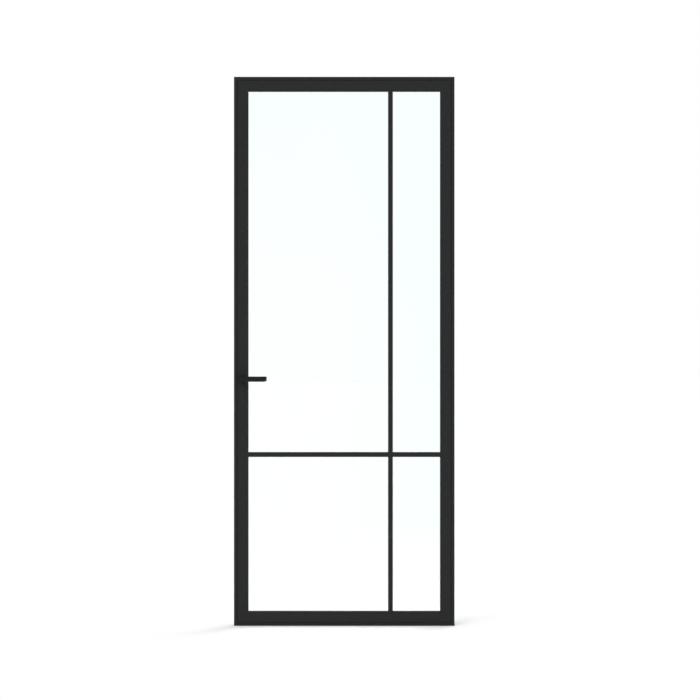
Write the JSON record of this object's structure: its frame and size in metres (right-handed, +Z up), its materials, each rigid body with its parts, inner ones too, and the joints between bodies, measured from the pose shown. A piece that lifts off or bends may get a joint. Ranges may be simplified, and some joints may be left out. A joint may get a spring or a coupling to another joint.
{
  "type": "glass door",
  "caption": "Tall glazed steel door leaf with slim dark bars and a straight lever handle, hung on barrel hinges in its own slim angle frame",
  "frame": {"origin": "floor level, in the middle of the frame's width and of the leaf's depth", "axes": "+X to the right seen from the push side, +Y to the side that the leaf opens to, +Z up"},
  "size_m": [0.93, 0.148, 2.315],
  "materials": {
    "black_coat": "fine-textured matt black powder coat",
    "handle_black": "satin black coat",
    "glass": "clear toughened glass with a faint cyan tint",
    "rubber": "black rubber",
    "steel": "brushed steel",
    "brass": "turned brass"
  },
  "bodies": {
    "frame": {"frame_lock_jamb": "black_coat", "frame_hinge_jamb": "black_coat", "frame_sill": "black_coat", "frame_head": "black_coat", "frame_seal": "rubber", "strike_plate": "steel", "strike_screws": "steel", "hinge_frame_barrel_bottom": "black_coat", "hinge_frame_barrel_middle": "black_coat", "hinge_frame_barrel_top": "black_coat", "hinge_pin_bottom": "steel", "hinge_pin_middle": "steel", "hinge_pin_top": "steel", "hinge_washer_bottom": "brass", "hinge_washer_middle": "brass", "hinge_washer_top": "brass"},
    "leaf": {"leaf_lock_stile": "black_coat", "leaf_hinge_stile": "black_coat", "leaf_bottom_rail": "black_coat", "leaf_top_rail": "black_coat", "hinge_leaf_barrel_bottom": "black_coat", "hinge_leaf_barrel_middle": "black_coat", "hinge_leaf_barrel_top": "black_coat", "glass_pane": "glass", "setting_blocks": "rubber", "front_gasket": "rubber", "rear_gasket": "rubber", "bead_lock_side": "black_coat", "bead_hinge_side": "black_coat", "bead_bottom": "black_coat", "bead_top": "black_coat", "bead_screws": "handle_black", "front_upright_bar": "black_coat", "front_left_cross_bar": "black_coat", "front_right_cross_bar": "black_coat", "front_bar_tape": "rubber", "rear_upright_bar": "black_coat", "rear_left_cross_bar": "black_coat", "rear_right_cross_bar": "black_coat", "rear_bar_tape": "rubber", "latch_case": "steel", "latch_case_cover": "steel", "latch_face_plate": "steel", "face_plate_screws": "steel", "latch_spring": "steel", "hub_spring": "steel", "front_rose_base": "steel", "rear_rose_base": "steel", "front_rose_cover": "handle_black", "rear_rose_cover": "handle_black", "rose_screws": "steel"},
    "handle": {"front_lever": "handle_black", "rear_lever": "handle_black", "spindle": "steel", "hub": "steel", "lever_set_screws": "steel"},
    "latch": {"latch_bolt": "steel"}
  },
  "joints": [
    {"name": "leaf_swing", "type": "hinge", "parent": "frame", "child": "leaf", "pos_m": [0.4585, 0.027, 1.1575], "axis": [0, 0, -1], "range_deg": [0, 120]},
    {"name": "handle_turn", "type": "hinge", "parent": "leaf", "child": "handle", "pos_m": [-0.433, 0, 1.04], "axis": [0, 1, 0], "range_deg": [0, 35], "stiffness_Nm_per_rad": 1.5, "springref_deg": -28.65, "deforming": ["hub_spring"]},
    {"name": "latch_slide", "type": "slide", "parent": "leaf", "child": "latch", "axis": [1, 0, 0], "range_m": [0, 0.007], "deforming": ["latch_spring"]}
  ],
  "couplings": [
    {"joint": "latch_slide", "follows": "handle_turn", "m_per_rad": 0.011459}
  ]
}
